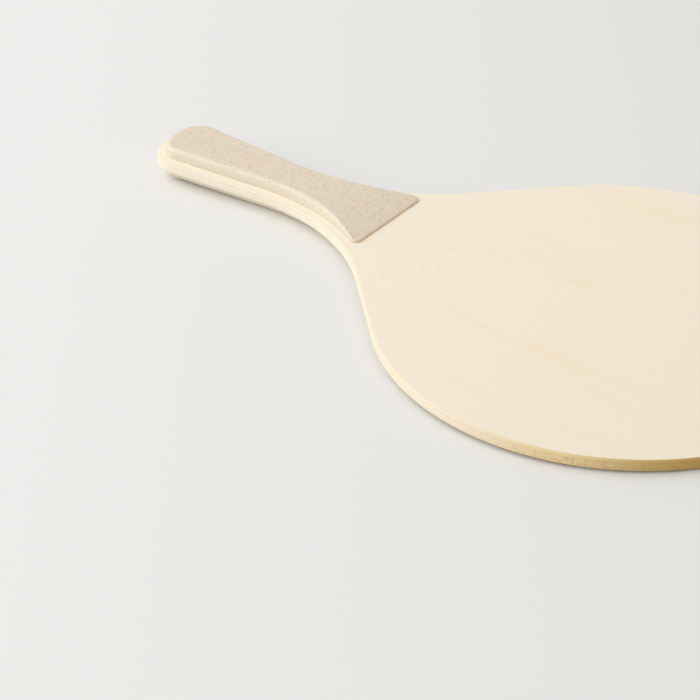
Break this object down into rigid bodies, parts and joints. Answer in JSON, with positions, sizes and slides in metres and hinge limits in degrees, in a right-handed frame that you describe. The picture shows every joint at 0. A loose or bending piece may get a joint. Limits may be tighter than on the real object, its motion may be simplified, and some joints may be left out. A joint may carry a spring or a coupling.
{
  "type": "beach tennis racket",
  "caption": "Solid-faced wooden paddle racket with a round plywood blade, a flared handle and a moulded grip plate on each side, for beach ball games.",
  "frame": {"origin": "centre of the bounding box's underside, in the plane of the lower grip plate's flat underside", "axes": "+Y along the racket from the butt to the tip of the blade, +Z square to the board, +X across it"},
  "size_m": [0.228, 0.38, 0.0166],
  "materials": {
    "face_wood": "bare, finely sanded",
    "crossband_wood": "sawn and sanded end grain",
    "core_wood": "sawn and sanded long grain",
    "fibre_plastic": "satin moulding with plant-fibre specks",
    "adhesive": "satin"
  },
  "bodies": {
    "root": {"face_veneer_top": "face_wood", "crossband_top": "crossband_wood", "core_veneer": "core_wood", "crossband_bottom": "crossband_wood", "face_veneer_bottom": "face_wood", "grip_adhesive_top": "adhesive", "grip_adhesive_bottom": "adhesive", "grip_plate_top": "fibre_plastic", "grip_plate_bottom": "fibre_plastic"}
  },
  "joints": []
}
